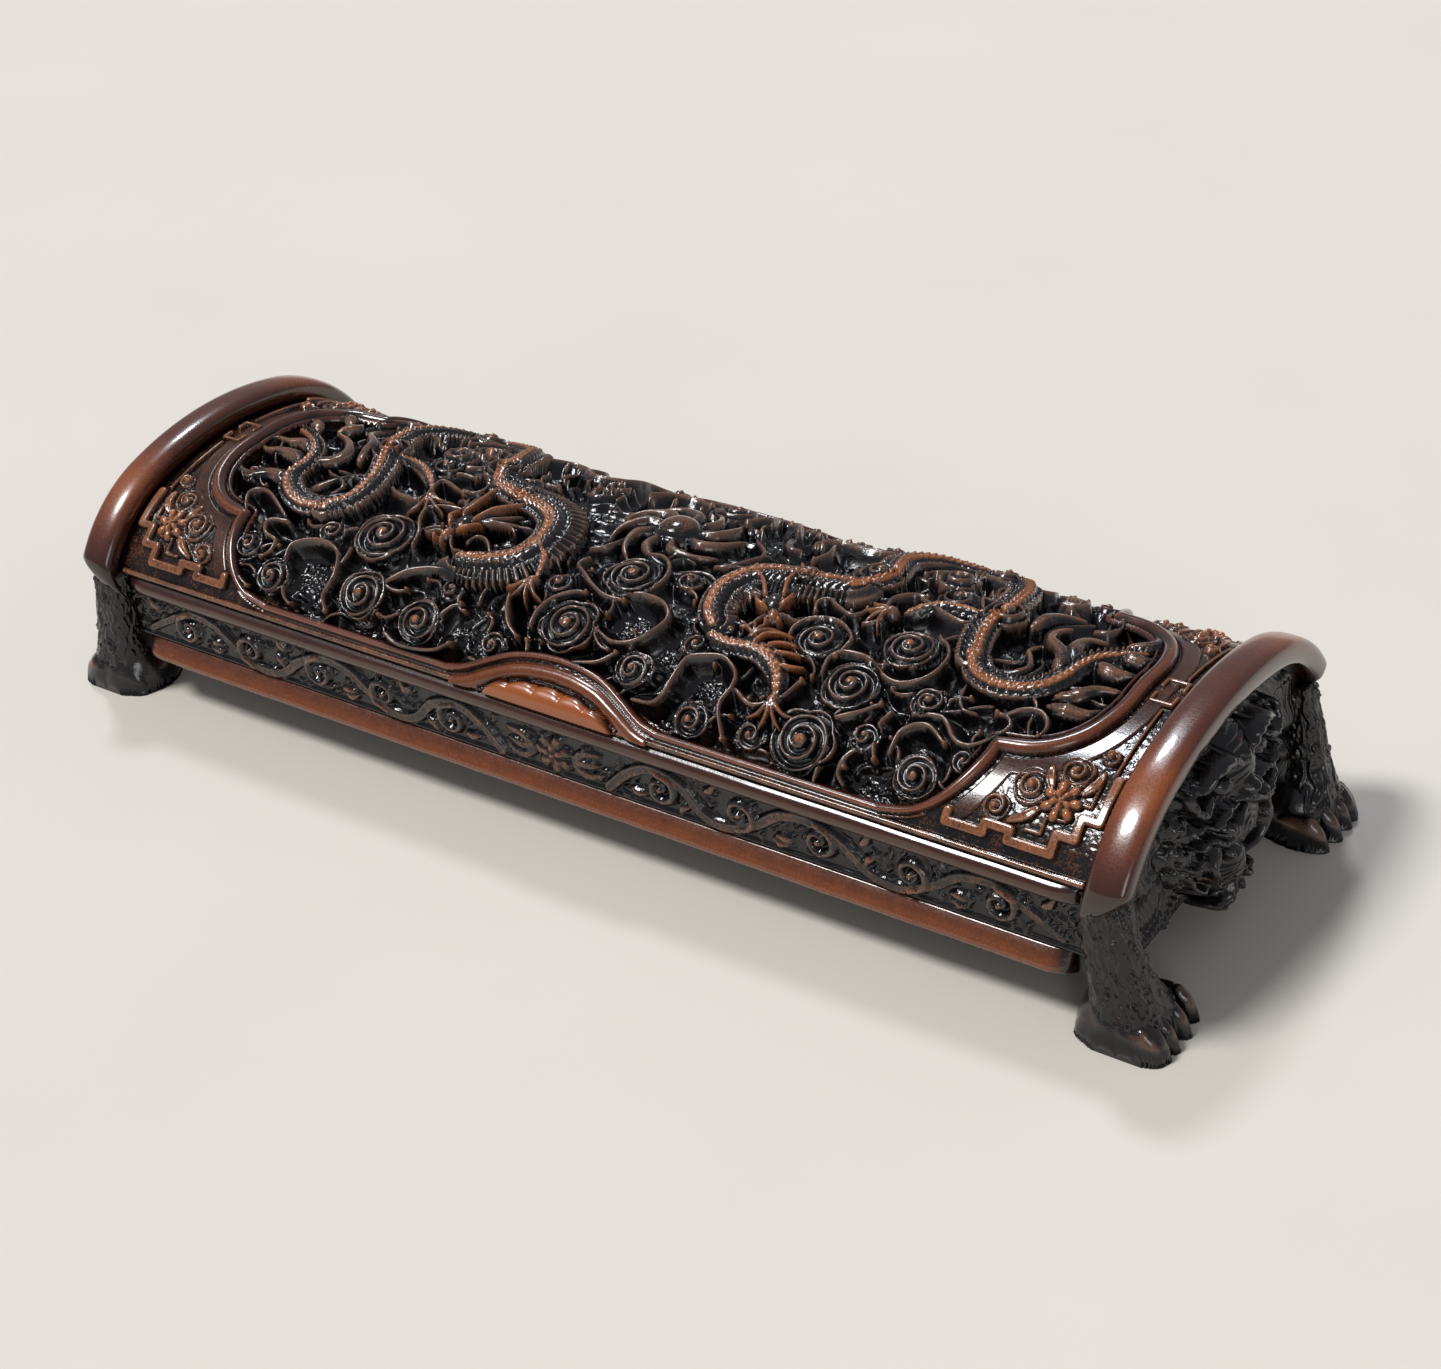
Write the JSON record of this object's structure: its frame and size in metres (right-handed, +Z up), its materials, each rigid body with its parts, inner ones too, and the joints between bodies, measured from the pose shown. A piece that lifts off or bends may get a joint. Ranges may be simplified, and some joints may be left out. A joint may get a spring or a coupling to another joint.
{
  "type": "carved resin box",
  "caption": "Long low keepsake box in dark glossy resin: lift-off arched lid carved with dragons among clouds, between bold end rims, on lion-paw legs.",
  "frame": {"origin": "centre of the footprint on the plane that the paws stand on", "axes": "+X along the box towards its right end, -Y towards its front, +Z up; the lid lifts along +Z"},
  "size_m": [0.281, 0.0916, 0.0537],
  "materials": {
    "dark_resin": "near-black glossy resin, rubbed warm brown on the high points",
    "brown_resin": "polished reddish brown resin",
    "plain_resin": "plain dark brown resin"
  },
  "bodies": {
    "base": {"back_base_moulding": "brown_resin", "back_frieze": "dark_resin", "back_rail": "brown_resin", "back_wall": "plain_resin", "front_base_moulding": "brown_resin", "front_frieze": "dark_resin", "front_rail": "brown_resin", "front_wall": "plain_resin", "left_beast_mask": "dark_resin", "left_end_panel": "dark_resin", "left_end_rim": "brown_resin", "leg_back_left": "dark_resin", "leg_back_right": "dark_resin", "leg_front_left": "dark_resin", "leg_front_right": "dark_resin", "right_beast_mask": "dark_resin", "right_end_panel": "dark_resin", "right_end_rim": "brown_resin", "tray_floor": "plain_resin"},
    "lid": {"back_edge_moulding": "dark_resin", "back_lid_lip": "plain_resin", "back_ogee_panel": "brown_resin", "cartouche_bead": "brown_resin", "cloud_scrolls": "dark_resin", "corner_flower_back_left": "dark_resin", "corner_flower_back_right": "dark_resin", "corner_flower_front_left": "dark_resin", "corner_flower_front_right": "dark_resin", "corner_fret_back_left": "dark_resin", "corner_fret_back_right": "dark_resin", "corner_fret_front_left": "dark_resin", "corner_fret_front_right": "dark_resin", "flaming_pearl": "dark_resin", "front_edge_moulding": "dark_resin", "front_lid_lip": "plain_resin", "front_ogee_panel": "brown_resin", "left_dragon": "dark_resin", "left_end_bead": "dark_resin", "left_end_fret": "dark_resin", "lid_shell": "dark_resin", "right_dragon": "dark_resin", "right_end_bead": "dark_resin", "right_end_fret": "dark_resin"}
  },
  "joints": [
    {"name": "lid_lift", "type": "slide", "parent": "base", "child": "lid", "axis": [0, 0, 1], "range_m": [0, 0.06]}
  ]
}
